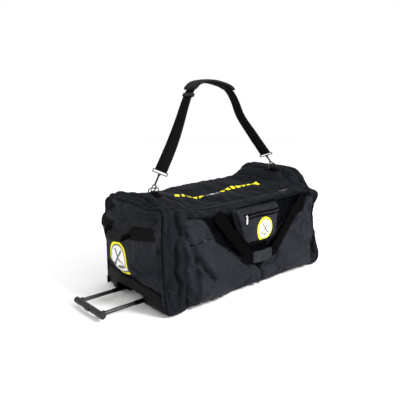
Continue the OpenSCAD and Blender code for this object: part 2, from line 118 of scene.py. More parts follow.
world = bpy.data.worlds.new("studio")
world.use_nodes = True
set_inputs(world.node_tree.nodes["Background"], {"Color": (1, 1, 1, 1), "Strength": 1.0})
bpy.context.scene.world = world


# ---------- materials ----------

def base_material(name, color, roughness, metallic=0.0, specular=0.5):
    mat = bpy.data.materials.new(name)
    mat.use_nodes = True
    shader = mat.node_tree.nodes["Principled BSDF"]
    set_inputs(shader, {"Base Color": (*color, 1), "Roughness": roughness, "Metallic": metallic,
                        "Specular IOR Level": specular})
    return mat, shader


def add_bump(mat, shader, texture_output, strength, distance):
    """Adds a relief on top of any that the material already has."""
    bump = mat.node_tree.nodes.new("ShaderNodeBump")
    if shader.inputs["Normal"].is_linked:
        mat.node_tree.links.new(shader.inputs["Normal"].links[0].from_socket, bump.inputs["Normal"])
    bump.inputs["Strength"].default_value = strength
    bump.inputs["Distance"].default_value = distance
    mat.node_tree.links.new(texture_output, bump.inputs["Height"])
    mat.node_tree.links.new(bump.outputs["Normal"], shader.inputs["Normal"])


def texture(mat, kind, values):
    """A texture that is laid out in the object's own coordinates."""
    nodes = mat.node_tree.nodes
    node = nodes.new("ShaderNodeTex" + kind)
    set_inputs(node, values)
    mat.node_tree.links.new(nodes.new("ShaderNodeTexCoord").outputs["Object"], node.inputs["Vector"])
    return node


def mottle(mat, shader, color, spread, scale, detail=2):
    """Lets the colour drift a little over the surface."""
    links = mat.node_tree.links
    noise = texture(mat, "Noise", {"Scale": scale, "Detail": detail, "Roughness": 0.7})
    mix = mat.node_tree.nodes.new("ShaderNodeMix")
    mix.data_type = "RGBA"
    set_inputs(mix, {"A": (*[c * (1 - spread) for c in color], 1),
                     "B": (*[c * (1 + spread) for c in color], 1)})
    links.new(noise.outputs["Fac"], mix.inputs["Factor"])
    links.new(mix.outputs["Result"], shader.inputs["Base Color"])


def woven_fabric(name, color, roughness, sheen, cell, specular=0.06):
    """Coarse nylon cloth: a square weave seen as tiny raised cells, over larger wrinkles."""
    mat, shader = base_material(name, color, roughness, specular=specular)
    set_inputs(shader, {"Sheen Weight": sheen, "Sheen Roughness": 0.45, "Sheen Tint": (0.75, 0.82, 1.0, 1)})
    mottle(mat, shader, color, spread=0.80, scale=16, detail=8)
    cells = texture(mat, "Voronoi", {"Scale": 1 / cell})
    cells.distance = "CHEBYCHEV"
    add_bump(mat, shader, cells.outputs["Distance"], strength=0.35, distance=0.0006)
    wrinkles = texture(mat, "Noise", {"Scale": 18, "Detail": 5, "Distortion": 1.2})
    add_bump(mat, shader, wrinkles.outputs["Fac"], strength=0.9, distance=0.012)
    return mat


def webbing_cloth(name, color, rib):
    """Flat woven tape with fine ribs."""
    mat, shader = base_material(name, color, roughness=0.8, specular=0.015)
    set_inputs(shader, {"Sheen Weight": 0.004})
    mottle(mat, shader, color, spread=0.12, scale=30)
    ribs = texture(mat, "Wave", {"Scale": 1 / rib, "Distortion": 0.6})
    ribs.wave_type = "BANDS"
    ribs.bands_direction = "DIAGONAL"
    add_bump(mat, shader, ribs.outputs["Fac"], strength=0.3, distance=0.0006)
    return mat


def moulded(name, color, roughness, grain, specular=0.18):
    mat, shader = base_material(name, color, roughness, specular=specular)
    noise = texture(mat, "Noise", {"Scale": 1 / grain})
    add_bump(mat, shader, noise.outputs["Fac"], strength=0.15, distance=0.0004)
    mottle(mat, shader, color, spread=0.08, scale=20)
    return mat


def metal(name, color, roughness):
    mat, shader = base_material(name, color, roughness, metallic=1.0)
    noise = texture(mat, "Noise", {"Scale": 400})
    add_bump(mat, shader, noise.outputs["Fac"], strength=0.08, distance=0.0002)
    return mat


def print_ink(name, color):
    mat, shader = base_material(name, color, roughness=0.6, specular=0.15)
    mottle(mat, shader, color, spread=0.06, scale=60)
    return mat


NYLON = woven_fabric("nylon", (0.0092, 0.0101, 0.0134), 0.66, 0.008, 0.0014)
# Darker copy of the same nylon for the lid, the deck and the end gussets: the lower tone is painted shade,
# not a different cloth.
NYLON_SHADED = woven_fabric("nylon_shaded", (0.0056, 0.0063, 0.0084), 0.66, 0.006, 0.0014, specular=0.03)
# Near-black copy of the same nylon for the front panel between the pockets and for the zip tapes: the
# near-black is painted shade in the gap between the pockets and along the zips.
NYLON_GAP_SHADE = woven_fabric("nylon_gap_shade", (0.0012, 0.0014, 0.0020), 0.80, 0.003, 0.0014, specular=0.01)
PIPING = woven_fabric("piping", (0.0016, 0.0018, 0.0024), 0.60, 0.004, 0.0010, specular=0.03)
LINING = woven_fabric("lining", (0.016, 0.016, 0.018), 0.75, 0.01, 0.0010)
# Near-black copy of the strap's webbing for the carry handles, grab loops and ring tabs: the darker tone is
# painted shade, taken from handle legs that hang in shadow.
WEBBING_SHADED = webbing_cloth("webbing", (0.0008, 0.0008, 0.0010), 0.002)
STRAP_WEBBING = webbing_cloth("strap_webbing", (0.0042, 0.0042, 0.0044), 0.002)
WRAP = woven_fabric("wrap", (0.0135, 0.0150, 0.0175), 0.75, 0.02, 0.0012)
PAD = woven_fabric("pad", (0.0075, 0.0075, 0.0080), 0.75, 0.01, 0.0012)
BASE = moulded("base_plastic", (0.0026, 0.0027, 0.0033), 0.55, 0.0008, specular=0.06)
GRIP = moulded("grip_plastic", (0.016, 0.016, 0.017), 0.50, 0.0010)
BLACK_PLASTIC = moulded("black_plastic", (0.004, 0.004, 0.004), 0.45, 0.0010)
RUBBER = moulded("rubber", (0.006, 0.006, 0.006), 0.8, 0.0010)
BLACK_TUBE = metal("black_tube", (0.010, 0.010, 0.011), 0.32)
GREY_TUBE = metal("grey_tube", (0.05, 0.05, 0.052), 0.38)
NICKEL = metal("nickel", (0.62, 0.61, 0.58), 0.25)
GUNMETAL = metal("gunmetal", (0.045, 0.045, 0.047), 0.30)
STEEL = metal("steel", (0.5, 0.5, 0.5), 0.35)
TEETH = moulded("zip_teeth", (0.006, 0.006, 0.007), 0.40, 0.0010)
YELLOW = print_ink("yellow_print", (0.80, 0.72, 0.015))
WHITE = print_ink("white_print", (0.70, 0.70, 0.70))
GREY = print_ink("grey_print", (0.13, 0.13, 0.135))
FLOOR = base_material("floor", (0.97, 0.97, 0.97), 0.9)[0]


# ---------- mesh helpers ----------

def add_mesh(name, verts, faces, mat, smooth=True):
    mesh = bpy.data.meshes.new(name)
    mesh.from_pydata([tuple(map(float, v)) for v in verts], [], faces)
    mesh.validate()
    mesh.materials.append(mat)
    mesh.polygons.foreach_set("use_smooth", [smooth] * len(mesh.polygons))
    return link(name, mesh)


def thicken(obj, thickness, offset=0):
    """Gives a sheet a thickness, on both sides or (offset -1) inwards, and applies its modifiers."""
    solid = obj.modifiers.new("solid", "SOLIDIFY")
    solid.thickness = thickness
    solid.offset = offset
    graph = bpy.context.evaluated_depsgraph_get()
    made = bpy.data.meshes.new_from_object(obj.evaluated_get(graph), depsgraph=graph)
    old = obj.data
    obj.modifiers.clear()
    obj.data = made
    bpy.data.meshes.remove(old)
    obj.data.name = obj.name
    return obj


def grid(us, vs):
    return np.meshgrid(us, vs, indexing="ij")


def grid_faces(rows, cols, skip=None):
    return [(i * cols + j, (i + 1) * cols + j, (i + 1) * cols + j + 1, i * cols + j + 1)
            for i in range(rows - 1) for j in range(cols - 1) if skip is None or not skip[i, j]]


def sheet(along, up, long, high, cell=CELL):
    """Grid over two ranges of values, with cells that fit a cloth of a real length and height."""
    return grid(np.linspace(*along, steps(long, cell)), np.linspace(*up, steps(high, cell)))


def edge_mask(rows, cols):
    mask = np.zeros((rows, cols), bool)
    mask[0] = mask[-1] = True
    mask[:, 0] = mask[:, -1] = True
    return mask


def steps(length, cell=CELL):
    return max(6, int(round(length / cell)) + 1)


def relax(points, push, slack, limit, seed, stiff=0.6, pinned=None, skip=None):
    """Lets a sheet with its seams pinned swell and fold; slack is how much larger it is than its outline."""
    rows, cols = points.shape[:2]
    if pinned is None:
        pinned = edge_mask(rows, cols)
    nudge = np.random.default_rng(seed).normal(0, SHAKE, points.shape)
    start = np.where(pinned[:, :, None], points, points + nudge)
    obj = add_mesh("cloth_tmp", start.reshape(-1, 3), grid_faces(rows, cols, skip), NYLON)
    group = obj.vertex_groups.new(name="pin")
    group.add([int(i) for i in np.flatnonzero(pinned.reshape(-1))], 1.0, "REPLACE")
    cloth = obj.modifiers.new("cloth", "CLOTH")
    settings = cloth.settings
    settings.quality = 6
    settings.mass = 0.25
    settings.tension_stiffness = settings.compression_stiffness = 25
    settings.shear_stiffness = 8
    settings.bending_stiffness = stiff
    settings.tension_damping = settings.compression_damping = 8
    settings.vertex_group_mass = "pin"
    settings.shrink_min = -slack
    settings.use_pressure = True
    settings.uniform_pressure_force = push
    settings.effector_weights.gravity = 0.0
    cloth.collision_settings.use_collision = False
    cloth.point_cache.frame_start = 1
    cloth.point_cache.frame_end = CLOTH_FRAMES
    scene = bpy.context.scene
    for number in range(1, CLOTH_FRAMES + 1):
        scene.frame_set(number)
    graph = bpy.context.evaluated_depsgraph_get()
    made = obj.evaluated_get(graph).to_mesh()
    moved = np.array([v.co for v in made.vertices]).reshape(rows, cols, 3)
    scene.frame_set(1)
    bpy.data.objects.remove(obj)
    offset = moved - points
    reach = np.linalg.norm(offset, axis=2, keepdims=True)
    offset *= np.minimum(1, limit / np.maximum(reach, 1e-9))
    return points + offset


def skin(name, points, thickness, mat, skip=None):
    """A closed fabric panel whose outer face is the grid of points; it thickens inwards."""
    rows, cols = points.shape[:2]
    obj = add_mesh(name, points.reshape(-1, 3), grid_faces(rows, cols, skip), mat)
    subdivide = obj.modifiers.new("subdivide", "SUBSURF")
    subdivide.levels = subdivide.render_levels = 1
    return thicken(obj, thickness, offset=-1)


def unit(v):
    v = np.asarray(v, float)
    return v / np.maximum(np.linalg.norm(v, axis=-1, keepdims=True), 1e-12)


def heading(path):
    """Direction of a path at each of its points."""
    return unit(np.gradient(path, axis=0))


def path_frame(path, across):
    """Directions across a path and up from it."""
    forward = heading(path)
    side = np.broadcast_to(np.asarray(across, float), path.shape)
    side = unit(side - forward * np.sum(side * forward, axis=1, keepdims=True))
    return side, np.cross(forward, side)


def smooth_path(points, spacing):
    """Catmull-Rom curve through the points, sampled evenly enough."""
    p = np.asarray(points, float)
    p = np.vstack([2 * p[0] - p[1], p, 2 * p[-1] - p[-2]])
    out = []
    for i in range(1, len(p) - 2):
        count = max(2, int(np.linalg.norm(p[i + 1][:3] - p[i][:3]) / spacing))
        for t in np.arange(count) / count:
            out.append(0.5 * (2 * p[i] + (p[i + 1] - p[i - 1]) * t
                              + (2 * p[i - 1] - 5 * p[i] + 4 * p[i + 1] - p[i + 2]) * t ** 2
                              + (3 * p[i] - p[i - 1] - 3 * p[i + 1] + p[i + 2]) * t ** 3))
    out.append(p[-2])
    return np.array(out)


def ring_faces(rings, sides):
    """Faces between rings of vertices that follow one another."""
    return [(i * sides + k, i * sides + (k + 1) % sides, (i + 1) * sides + (k + 1) % sides,
             (i + 1) * sides + k) for i in range(rings - 1) for k in range(sides)]


def tube_faces(rings, sides):
    """Faces of a tube with closed ends, whose vertices go round it ring by ring."""
    return ring_faces(rings, sides) + [tuple(range(sides - 1, -1, -1)),
                                       tuple(range((rings - 1) * sides, rings * sides))]


def sweep(name, path, across, profile, mat):
    """Sweeps a closed profile, drawn as (across, up) pairs, along a path."""
    path = np.asarray(path, float)
    side, up = path_frame(path, across)
    verts = [path[i] + side[i] * a + up[i] * b for i in range(len(path)) for a, b in profile]
    return add_mesh(name, verts, tube_faces(len(path), len(profile)), mat)


def round_profile(radius):
    sides = 8
    return [(radius * math.cos(2 * math.pi * k / sides), radius * math.sin(2 * math.pi * k / sides))
            for k in range(sides)]


def tape_profile(width, thick):
    """Flat band with softened edges."""
    w, t = width / 2, thick / 2
    e = t * 0.7
    return [(-w, -t + e * 0.4), (-w + e, -t), (w - e, -t), (w, -t + e * 0.4),
            (w, t - e * 0.4), (w - e, t), (-w + e, t), (-w, t - e * 0.4)]


def tube(name, path, radius, mat, spacing):
    helper = (0.31, 0.52, 0.79)
    return sweep(name, smooth_path(path, spacing), helper, round_profile(radius), mat)


def gather(objs):
    """Vertices of several meshes in one list, and each of their faces as (material, corners)."""
    verts, faces = [], []
    for obj in objs:
        base = len(verts)
        mat = obj.data.materials[0]
        verts.extend(v.co.copy() for v in obj.data.vertices)
        faces.extend((mat, [base + i for i in face.vertices]) for face in obj.data.polygons)
    return verts, faces


def join(name, objs):
    """Joins several meshes into one piece."""
    verts, faces = gather(objs)
    mats = list(dict.fromkeys(mat for mat, corners in faces))
    whole = add_mesh(name, verts, [corners for mat, corners in faces], mats[0])
    for mat in mats[1:]:
        whole.data.materials.append(mat)
    whole.data.polygons.foreach_set("material_index", [mats.index(mat) for mat, corners in faces])
    for obj in objs:
        bpy.data.objects.remove(obj)
    return whole


def surface_tree(obj):
    verts, faces = gather([obj])
    return BVHTree.FromPolygons(verts, [face[1] for face in faces])


def drop(tree, points, direction, lift):
    """Drops points along a direction onto a surface and lifts them off it a little."""
    d = Vector(direction).normalized()
    out = []
    for p in np.asarray(points, float).reshape(-1, 3):
        hit = tree.ray_cast(Vector(p) - d * 0.3, d)[0] or tree.find_nearest(Vector(p))[0]
        out.append(np.array(hit) - np.array(d) * lift)
    return np.array(out).reshape(np.asarray(points).shape)


def decal(name, tree, outer, direction, lift, mat, inner=0.03, rings=6):
    """A flat print laid on a surface between an outline and the same outline shrunk to inner."""
    outer = np.asarray(outer, float)
    centre = outer.mean(axis=0)
    n = len(outer)
    scales = np.linspace(inner, 1, rings)
    verts = drop(tree, np.vstack([centre + (outer - centre) * k for k in scales]), direction, lift)
    faces = [(r * n + k, (r + 1) * n + k, (r + 1) * n + (k + 1) % n, r * n + (k + 1) % n)
             for r in range(rings - 1) for k in range(n)]
    if inner < 0.1:
        faces.append(tuple(range(n)))
    return thicken(add_mesh(name, verts, faces, mat), PRINT_THICK)


def dense(corners):
    """The corners of a closed outline with points added along its sides."""
    spacing = 0.004
    corners = np.asarray(corners, float)
    out = []
    for a, b in zip(corners, np.roll(corners, -1, axis=0)):
        count = max(1, int(np.linalg.norm(b - a) / spacing))
        out.extend(a + (b - a) * t for t in np.arange(count) / count)
    return np.array(out)


def patch(name, tree, corners, direction, thick, mat, cells=12):
    """A flat four-cornered piece of webbing or cloth sewn down on a surface."""
    a, b, c, d = [np.asarray(p, float) for p in corners]
    u = np.linspace(0, 1, cells)[:, None, None]
    v = np.linspace(0, 1, cells)[None, :, None]
    flat = (a * (1 - u) + b * u) * (1 - v) + (d * (1 - u) + c * u) * v
    points = drop(tree, flat, direction, thick)
    return thicken(add_mesh(name, points.reshape(-1, 3), grid_faces(cells, cells), mat), thick * 0.9)


def zip_teeth(name, path, across, mat, half_high=0.0012):
    """The closed row of teeth of a zip, one at each point of its path."""
    side, up = path_frame(path, across)
    half_long, half_wide = 0.0010, 0.0027
    verts, faces = [], []
    cube = [(0, 1, 3, 2), (4, 6, 7, 5), (0, 4, 5, 1), (2, 3, 7, 6), (0, 2, 6, 4), (1, 5, 7, 3)]
    for place, ahead, over, high in zip(path, heading(path) * half_long, side * half_wide, up * half_high):
        base = len(verts)
        for k in range(8):
            a, b, c = [1 if k & bit else -1 for bit in (4, 2, 1)]
            verts.append(place + ahead * a + over * b + high * c)
        faces.extend(tuple(base + i for i in face) for face in cube)
    return add_mesh(name, verts, faces, mat, smooth=False)


def zip_line(name, path, across):
    """Zip tape with its teeth."""
    tape = sweep("tape", smooth_path(path, 0.01), across, tape_profile(0.022, 0.0012), NYLON_GAP_SHADE)
    return join(name, [tape, zip_teeth("teeth", smooth_path(path, 0.003), across, TEETH)])


def smoothstep(x, a, b):
    t = np.clip((np.asarray(x, float) - a) / (b - a), 0, 1)
    return t * t * (3 - 2 * t)


def creases(u, v, lines):
    """Depth of fabric folds at the points (u, v); each line is its corners, depth and width."""
    depth = np.zeros_like(u)
    for corners, deep, width in lines:
        corners = np.asarray(corners, float)
        near = np.full_like(u, 9.0)
        for a, b in zip(corners[:-1], corners[1:]):
            run = b - a
            t = np.clip(((u - a[0]) * run[0] + (v - a[1]) * run[1]) / (run @ run), 0, 1)
            near = np.minimum(near, np.hypot(u - a[0] - t * run[0], v - a[1] - t * run[1]))
        valley = np.exp(-(near / width) ** 2)
        ridge = 0.35 * np.exp(-((near - 2.2 * width) / width) ** 2)
        depth = depth + deep * (valley - ridge)
    return depth


# ---------- shape of the bag ----------

# Height of the top along the bag: x, front seam, zip line, middle, hinge line, back seam
TOP = np.array([
    (-0.368, 0.354, 0.366, 0.406, 0.385, 0.366),
    (-0.300, 0.347, 0.364, 0.386, 0.376, 0.364),
    (-0.162, 0.345, 0.361, 0.368, 0.373, 0.364),
    (-0.090, 0.356, 0.362, 0.366, 0.380, 0.374),
    (0.086, 0.364, 0.364, 0.372, 0.386, 0.380),
    (0.235, 0.367, 0.366, 0.380, 0.390, 0.383),
    (0.300, 0.368, 0.370, 0.398, 0.396, 0.385),
    (0.340, 0.366, 0.376, 0.432, 0.420, 0.400),
    (0.368, 0.362, 0.380, 0.438, 0.432, 0.410),
])
LINES = np.array([-0.224, -0.150, 0.0, 0.196, 0.224])


def top_height(x, y):
    columns = [np.interp(x, TOP[:, 0], TOP[:, 1 + k]) for k in range(len(LINES))]
    z = columns[0].copy()
    for k in range(len(LINES) - 1):
        t = smoothstep(y, LINES[k], LINES[k + 1]) if k in (1, 2) else np.clip(
            (y - LINES[k]) / (LINES[k + 1] - LINES[k]), 0, 1)
        z = np.where(y >= LINES[k], columns[k] + (columns[k + 1] - columns[k]) * t, z)
    return z


def top_points(xs, ys):
    x, y = grid(xs, ys)
    return np.stack([x, y, top_height(x, y)], axis=2)


def left_crown(y):
    return 0.386 + 0.018 * smoothstep(-y, 0.10, HALF_W) - 0.012 * smoothstep(y, 0.12, HALF_W)


def right_crown(y):
    return 0.352 + 0.086 * smoothstep(y, -0.185, -0.055) - 0.03 * smoothstep(y, 0.19, HALF_W)


def end_ring(crown, low):
    """Outline of an end of the bag, from the foot of the front face over the top to the foot of the back."""
    corner = 0.03
    front_top = float(crown(-HALF_W + corner))
    back_top = float(crown(HALF_W - corner))
    front = [(-HALF_W, z) for z in np.linspace(low, front_top - corner, steps(front_top - low))]
    over = [(y, float(crown(y))) for y in np.linspace(-HALF_W + corner, HALF_W - corner, steps(2 * HALF_W))]
    back = [(HALF_W, z) for z in np.linspace(back_top - corner, low, steps(back_top - low))]
    turns = np.radians([30, 60])
    turn_front = [(-HALF_W + corner - corner * math.cos(a), front_top - corner + corner * math.sin(a))
                  for a in turns]
    turn_back = [(HALF_W - corner + corner * math.sin(a), back_top - corner + corner * math.cos(a))
                 for a in turns]
    return np.array(front + turn_front + over + turn_back + back)


def ring_normals(ring):
    t = heading(ring)
    return np.stack([-t[:, 1], t[:, 0]], axis=1)


# How far the wheel-end pocket is drawn in at its front edge: height, distance
WAIST = np.array([(0.010, 0.034), (0.024, 0.019), (0.040, 0.014), (0.060, 0.017), (0.110, 0.040),
                  (0.180, 0.066), (0.262, 0.082), (0.300, 0.072), (0.345, 0.030), (0.400, 0.012)])


# How far the handle-end pocket leans out at its front edge: height, distance
LEAN = np.array([(0.004, 0.000), (0.032, 0.017), (0.154, 0.026), (0.266, 0.033), (0.405, 0.024)])


def end_seam(side, y, z):
    """Where an end seam stands along the bag; the wheel end is slack, the handle end leans out in front."""
    if side > 0:
        return HALF_L - np.interp(z, WAIST[:, 0], WAIST[:, 1]) * smoothstep(-y, -0.05, HALF_W)
    lean = np.interp(z, LEAN[:, 0], LEAN[:, 1]) * smoothstep(-y, -0.02, HALF_W)
    return -HALF_L - lean + 0.022 * smoothstep(y, 0.06, HALF_W)


# ---------- end pockets ----------

def pleats(across, height, shift):
    """Depth of the folds that run along a gusset; they wander from side to side."""
    wander = 0.07 * np.sin(height * 31 + shift) + 0.04 * np.sin(height * 67 + 2 * shift)
    deep = 0.026 * np.exp(-((across - 0.52 - wander) / 0.08) ** 2)
    fine = 0.020 * np.exp(-((across - 0.84 + 0.5 * wander) / 0.06) ** 2)
    fade = 0.70 + 0.30 * np.sin(height * 14 + shift)
    return deep + fine * fade


def end_gusset(name, side, crown, swell, seed):
    """The strip of fabric round an end pocket, gathered between its two seams."""
    ring = end_ring(crown, FLOOR_GAP)
    normal = ring_normals(ring)
    across = np.linspace(0, 1, steps(HALF_L - SEAM_X, CELL_FINE))
    seam = end_seam(side, ring[:, 0], ring[:, 1])
    puff = swell * np.sin(math.pi * across) ** 0.6
    middle = top_height(np.full(len(ring), side * SEAM_X), np.clip(ring[:, 0], LINES[0], LINES[-1]))
    points = np.zeros((len(ring), len(across), 3))
    is_top = smoothstep(np.abs(ring[:, 0]), HALF_W, HALF_W - 0.012)
    at_hem = smoothstep(ring[:, 1], FLOOR_GAP, 0.09)
    tuck = 0.012 * (1 - is_top)
    rng = np.random.default_rng(seed)
    shift = rng.uniform(0, 6)
    for j in range(len(across)):
        near = (1 - across[j]) ** 1.5
        fold = pleats(across[j], ring[:, 1], shift) * (1 - 0.55 * is_top) * at_hem
        out = puff[j] - fold * math.sin(math.pi * across[j]) ** 0.3
        points[:, j, 0] = side * SEAM_X + (seam - side * SEAM_X) * across[j]
        points[:, j, 1] = ring[:, 0] + normal[:, 0] * (out - tuck * near)
        height = ring[:, 1] + (middle - ring[:, 1]) * near * is_top
        points[:, j, 2] = height + normal[:, 1] * out
    if side > 0:
        points = points[:, ::-1]
    points = relax(points, push=1.0, slack=0.09, limit=0.008, seed=seed, stiff=1.5)
    return skin(name, points, SKIN, NYLON_SHADED)


# Folds of the two end faces, drawn in y and z
FACE_FOLDS = [
    ([(-0.214, 0.262), (-0.207, 0.205), (-0.214, 0.160)], 0.016, 0.008),
    ([(-0.080, 0.178), (-0.140, 0.150), (-0.200, 0.112)], 0.012, 0.008),
    ([(-0.120, 0.225), (-0.165, 0.165)], 0.009, 0.007),
    ([(-0.050, 0.112), (-0.130, 0.125), (-0.205, 0.098)], 0.009, 0.009),
    ([(0.190, 0.345), (0.120, 0.350), (0.020, 0.345), (-0.100, 0.348), (-0.180, 0.366)], 0.030, 0.024),
    ([(0.000, 0.322), (-0.090, 0.318), (-0.180, 0.338)], 0.010, 0.009),
    ([(0.170, 0.300), (0.120, 0.270)], 0.009, 0.012),
    ([(0.195, 0.240), (0.150, 0.190), (0.185, 0.130)], 0.010, 0.012),
]


def end_face(name, side, crown, swell, low_middle, low_edge, seed):
    """The swelling face of an end pocket."""
    u, v = sheet((-1, 1), (0, 1), 2 * HALF_W, 0.31)
    y = HALF_W * u
    low = low_middle - (low_middle - low_edge) * smoothstep(np.abs(y), 0.200, 0.214)
    high = crown(np.clip(y, -HALF_W + 0.006, HALF_W - 0.006))
    z = low + (high - low) * v
    corner = (np.abs(u) * np.abs(2 * v - 1)) ** 7
    cut = corner * (v > 0.5)
    y = y * (1 - 0.04 * cut)
    z = z - 0.011 * cut
    bulge = (1 - np.abs(u) ** 2.2) * (1 - np.abs(2 * v - 1) ** 2.6)
    sag = 0.006 * np.sin(9 * v + 14 * y) * bulge
    folds = creases(y, z, FACE_FOLDS)
    x = end_seam(side, y, z) + side * (swell * np.clip(bulge, 0, 1) ** 0.85 + sag - folds - 0.004)
    points = np.stack([x, y, z], axis=2)
    if side < 0:
        points = points[:, ::-1]
    points = relax(points, push=0.9, slack=0.07, limit=0.014, seed=seed, stiff=2.5)
    return skin(name, points, SKIN, NYLON)


def end_piping(name, side, crown):
    ring = end_ring(crown, FLOOR_GAP + 0.002)
    path = [(float(end_seam(side, y, z)), y, z) for y, z in ring]
    return tube(name, path, 0.0034, PIPING, spacing=0.02)


# ---------- front ----------

def front_height(x):
    return np.interp(x, TOP[:, 0], TOP[:, 1])


def front_panel(seed):
    x, v = sheet((-SEAM_X, SEAM_X), (0, 1), 2 * SEAM_X, 0.32)
    foot = 0.044
    z = foot + (front_height(x) - foot) * v
    y = FRONT_Y - 0.010 * smoothstep(v, 0.85, 1.0)
    points = np.stack([x, y, z], axis=2)
    points = relax(points, push=0.2, slack=0.03, limit=0.007, seed=seed)
    # The panel between the pockets is near-black nylon: painted shade in the gap.
    return skin("front_panel", points, 0.008, NYLON_GAP_SHADE)


def pocket_edge(x, corners):
    return np.interp(x, [c[0] for c in corners], [c[1] for c in corners])


def front_pocket(name, foot, x1, corners, deep, seed, folds):
    """A sewn-on pocket with a steep side all round; its left side leans from its foot to its top."""
    u, v = sheet((0, 1), (0, 1), x1 - foot, 0.30, CELL_FINE)
    left = foot + (corners[0][0] - foot) * v
    x = left + (x1 - left) * u
    hem = 0.012
    z = hem + (pocket_edge(x, corners) - hem) * v
    rows, cols = x.shape
    i, j = grid(np.arange(rows), np.arange(cols))
    along = np.minimum(i, rows - 1 - i) * (x[-1, 0] - x[0, 0]) / (rows - 1)
    up = np.minimum(j, cols - 1 - j) * (z[:, -1:] - z[:, :1]) / (cols - 1)
    edge = np.minimum(along, up)
    rise = 1 - (1 - np.clip(edge / 0.014, 0, 1)) ** 2
    dome = np.clip(edge / 0.12, 0, 1) ** 0.6
    belly = 0.016 * smoothstep(edge, 0, 0.05) * smoothstep(-z, -0.150, -0.030)
    slump = 0.005 * np.sin(z * 38 + x * 21) * rise
    y = FRONT_Y - 0.006 - deep * (0.6 * rise + 0.4 * dome) - belly - slump + creases(x, z, folds) * rise
    points = np.stack([x, y, z], axis=2)
    points = relax(points, push=0.45, slack=0.07, limit=0.012, seed=seed, stiff=2.5)
    return skin(name, points, 0.006, NYLON)


LEFT_TOP = [(-0.418, 0.335), (-0.408, 0.352), (-0.392, 0.358), (-0.330, 0.350), (-0.309, 0.344),
            (-0.281, 0.322), (-0.241, 0.270), (-0.205, 0.225), (-0.130, 0.178), (-0.064, 0.135),
            (-0.009, 0.098), (0.010, 0.072), (0.018, 0.050)]
RIGHT_TOP = [(0.024, 0.060), (0.030, 0.084), (0.053, 0.099), (0.110, 0.126), (0.153, 0.172),
             (0.196, 0.222), (0.249, 0.260), (0.304, 0.284), (0.320, 0.330), (0.350, 0.345), (0.372, 0.335)]

# Folds of the front pockets, drawn in x and z
LEFT_FOLDS = [
    ([(-0.394, 0.298), (-0.347, 0.200), (-0.308, 0.156), (-0.268, 0.111)], 0.014, 0.009),
    ([(-0.347, 0.200), (-0.344, 0.131), (-0.363, 0.030)], 0.011, 0.009),
    ([(-0.404, 0.330), (-0.396, 0.240), (-0.392, 0.160), (-0.372, 0.060)], 0.012, 0.008),
    ([(-0.290, 0.045), (-0.150, 0.035), (-0.060, 0.050)], 0.005, 0.012),
]
RIGHT_FOLDS = [
    ([(0.290, 0.262), (0.262, 0.232), (0.258, 0.205)], 0.007, 0.008),
    ([(0.350, 0.330), (0.335, 0.230), (0.350, 0.120)], 0.008, 0.009),
    ([(0.120, 0.110), (0.180, 0.080), (0.300, 0.085)], 0.004, 0.012),
]


ACCESSORY_RISE = (0.2035, 0.352)     # foot and top of the D-shaped pocket


def accessory_sides(z):
    """Left and right edge of the D-shaped pocket at a height."""
    low, corner = 0.203, 0.042
    down = np.clip((low + corner - z) / corner, 0, 1)
    round_in = corner * (1 - np.sqrt(1 - down ** 2))
    taper = (ACCESSORY_RISE[1] - z) * 0.16
    return -0.152 + 2.4 * taper + round_in, 0.116 - taper * 0.6 - round_in


def accessory_pocket(seed):
    u, z = sheet((0, 1), ACCESSORY_RISE, 0.25, 0.15, CELL_FINE)
    left, right = accessory_sides(z)
    x = left + (right - left) * u
    foot, top = ACCESSORY_RISE
    edge = np.minimum(np.minimum(x - left, right - x), np.minimum(z - foot, top - z))
    rise = 1 - (1 - np.clip(edge / 0.012, 0, 1)) ** 2
    dome = np.clip(edge / 0.07, 0, 1) ** 0.7
    y = FRONT_Y - 0.008 - 0.028 * rise - 0.008 * dome
    points = np.stack([x, y, z], axis=2)
    pinned = edge_mask(*x.shape) | ((edge > 0.010) & (edge < 0.014))
    points = relax(points, push=0.2, slack=0.035, limit=0.006, seed=seed, stiff=0.5, pinned=pinned)
    return skin("accessory_skin", points, 0.005, NYLON)


# ---------- build ----------

def place(piece, body, slot, node=None, fill=None):
    """Puts a piece under the empty of the body it moves with and hides the CAD node it stands for. The slot
    and how full it is are not used.
    """
    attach(piece, body)
    if node:
        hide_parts(node)


def lay_floor():
    size = 6.0
    below = 0.0006
    floor = add_mesh("floor", [(-size, -size, 0), (size, -size, 0), (size, size, 0), (-size, size, 0)],
                     [(0, 1, 2, 3)], FLOOR, smooth=False)
    floor.location.z = -below


lay_floor()

face_left = end_face("end_face_left", -1, left_crown, 0.043, BAND_TOP, FLOOR_GAP, seed=11)
face_right = end_face("end_face_right", 1, right_crown, 0.028, 0.096, 0.014, seed=21)
gusset_left = end_gusset("end_gusset_left", -1, left_crown, 0.012, seed=12)
gusset_right = end_gusset("end_gusset_right", 1, right_crown, 0.010, seed=22)
place(face_left, "bag", "nylon")
place(face_right, "bag", "nylon")
place(gusset_left, "bag", "nylon", "end_pocket_left", fill=0.6)
place(gusset_right, "bag", "nylon", "end_pocket_right", fill=0.5)
place(end_piping("end_piping_left", -1, left_crown), "bag", "nylon")
place(end_piping("end_piping_right", 1, right_crown), "bag", "nylon")

panel = front_panel(31)
pocket_left = front_pocket("pocket_left", -0.374, 0.019, LEFT_TOP, 0.028, 32, LEFT_FOLDS)
pocket_right = front_pocket("pocket_right", 0.024, 0.372, RIGHT_TOP, 0.026, 33, RIGHT_FOLDS)
pocket_small = accessory_pocket(34)
place(panel, "bag", "nylon", "front_wall")
place(pocket_left, "bag", "nylon", "front_pocket_left", fill=0.4)
place(pocket_right, "bag", "nylon", "front_pocket_right", fill=0.4)
place(pocket_small, "bag", "nylon", "accessory_pocket", fill=0.4)


def accessory_outline(y):
    zs = np.linspace(*ACCESSORY_RISE[::-1], 24)
    left = [(float(accessory_sides(z)[0]), y, z) for z in zs]
    right = [(float(accessory_sides(z)[1]), y, z) for z in zs[::-1]]
    return left + right


